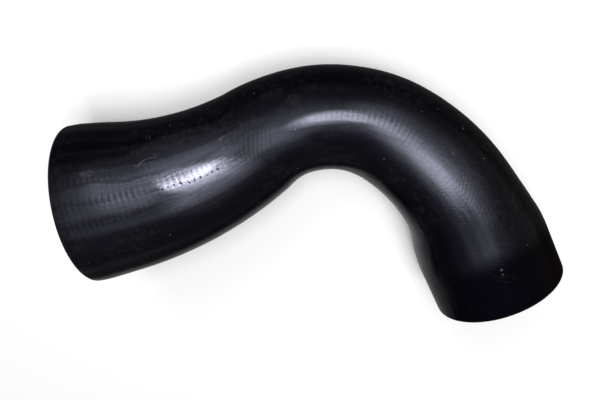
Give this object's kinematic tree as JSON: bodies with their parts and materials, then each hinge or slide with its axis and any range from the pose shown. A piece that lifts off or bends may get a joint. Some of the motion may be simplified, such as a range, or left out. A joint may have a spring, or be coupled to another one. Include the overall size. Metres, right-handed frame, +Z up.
{
  "type": "charge air hose",
  "caption": "Moulded rubber charge air hose: a wide cuff tapers through a gentle bend to a narrow throat, turns a tighter elbow and opens to a smaller cuff.",
  "frame": {"origin": "on the floor under the centre of the hose's bounding box", "axes": "+X runs from the wide cuff into the hose along its wide straight, +Y towards the outside of the elbow, +Z up from the floor it lies on"},
  "size_m": [0.2206, 0.129, 0.075],
  "materials": {
    "rubber": "satin black moulded rubber with faint wrap ribs"
  },
  "bodies": {
    "root": {"hose": "rubber"}
  },
  "joints": []
}
